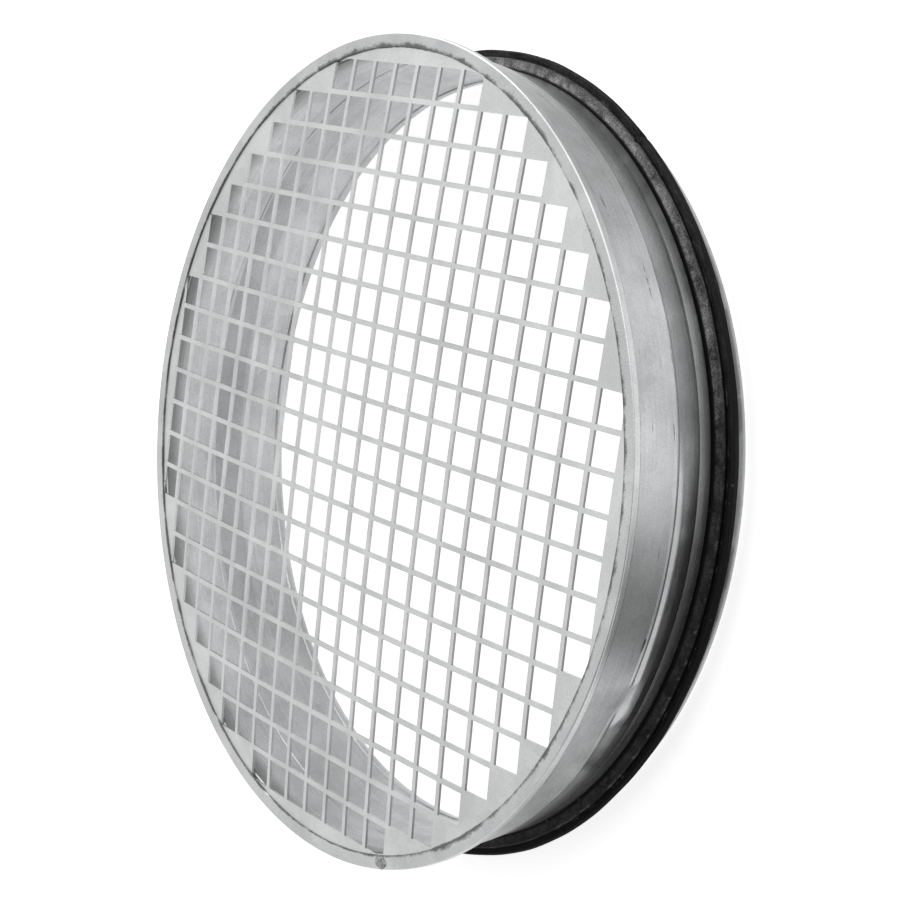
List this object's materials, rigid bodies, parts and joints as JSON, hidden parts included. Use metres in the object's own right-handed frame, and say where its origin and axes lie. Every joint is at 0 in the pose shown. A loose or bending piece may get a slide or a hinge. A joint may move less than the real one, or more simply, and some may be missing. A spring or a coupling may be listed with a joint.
{
  "type": "duct end cap",
  "caption": "Round duct end cap: short flanged sheet-steel sleeve with a rubber lip gasket at its rear and a punched square-hole mesh disc held over its front by a folded rim.",
  "frame": {"origin": "centre of the rear end, on the plane that the folded hem stands on", "axes": "+Z along the cap's axis from the open rear end towards the mesh; the mesh bars run along X and Y"},
  "size_m": [0.2622, 0.2622, 0.0531],
  "materials": {
    "galvanised_sheet": "galvanised, satin",
    "gasket_rubber": "matt, dusty"
  },
  "bodies": {
    "root": {"sleeve": "galvanised_sheet", "mesh_disc": "galvanised_sheet", "rim_ring": "galvanised_sheet", "gasket": "gasket_rubber"}
  },
  "joints": []
}
